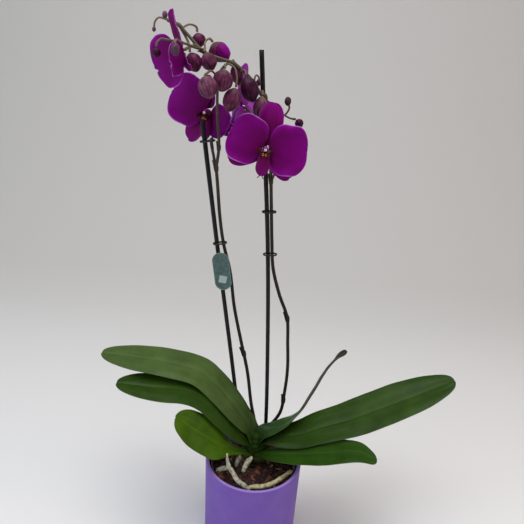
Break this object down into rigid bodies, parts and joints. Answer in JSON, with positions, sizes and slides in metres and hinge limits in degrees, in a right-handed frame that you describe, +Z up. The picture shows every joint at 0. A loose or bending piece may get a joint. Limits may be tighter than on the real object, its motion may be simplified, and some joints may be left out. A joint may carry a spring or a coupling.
{
  "type": "potted orchid",
  "caption": "Potted moth orchid with arching flower stems on stakes, purple blooms and buds, strap leaves and a plain violet cover pot.",
  "frame": {"origin": "centre of the cover pot's flat foot, on the surface it stands on", "axes": "+Z up the plant, +X along the long leaf to the right, -Y towards the side that most flowers face"},
  "size_m": [0.4669, 0.1325, 0.6753],
  "materials": {
    "cover_pot": "matte",
    "nursery_pot": "satin",
    "bark": "matte",
    "crown": "matte",
    "leaf": "satin",
    "root": "matte",
    "stake": "satin",
    "stem": "satin",
    "clip": "satin",
    "plant_tag": "satin",
    "sepal": "satin",
    "petal": "satin",
    "lip": "satin",
    "bud": "satin"
  },
  "bodies": {
    "root": {"cover_pot": "cover_pot", "nursery_pot": "nursery_pot", "bark_mix": "bark", "crown": "crown", "leaf_upper_left": "leaf", "leaf_middle_left": "leaf", "leaf_lower_left": "leaf", "leaf_young": "leaf", "leaf_long_right": "leaf", "leaf_lower_right": "leaf", "root_long": "root", "root_side": "root", "root_stub_left": "root", "root_stub_front": "root", "root_right": "root", "stake_left": "stake", "stake_right": "stake", "spike_left": "stem", "spike_right": "stem", "clip_left_lower": "clip", "clip_left_upper": "clip", "clip_right_lower": "clip", "clip_right_upper": "clip", "plant_tag": "plant_tag", "flower_right_sepal_top": "sepal", "flower_right_sepal_left": "sepal", "flower_right_sepal_right": "sepal", "flower_right_petal_left": "petal", "flower_right_petal_right": "petal", "flower_right_lip": "lip", "flower_left_sepal_top": "sepal", "flower_left_sepal_left": "sepal", "flower_left_sepal_right": "sepal", "flower_left_petal_left": "petal", "flower_left_petal_right": "petal", "flower_left_lip": "lip", "flower_behind_sepal_top": "sepal", "flower_behind_sepal_left": "sepal", "flower_behind_sepal_right": "sepal", "flower_behind_petal_left": "petal", "flower_behind_petal_right": "petal", "flower_behind_lip": "lip", "flower_top_sepal_top": "sepal", "flower_top_sepal_left": "sepal", "flower_top_sepal_right": "sepal", "flower_top_petal_left": "petal", "flower_top_petal_right": "petal", "flower_top_lip": "lip", "bud_arch_top": "bud", "bud_pair_left": "bud", "bud_pair_right": "bud", "bud_half_open": "bud", "bud_behind": "bud", "bud_dark": "bud", "bud_node": "bud", "bud_tip_right": "bud", "bud_side_tip": "bud", "bud_front_left": "bud", "bud_front_middle": "bud", "bud_front_low": "bud"}
  },
  "joints": []
}
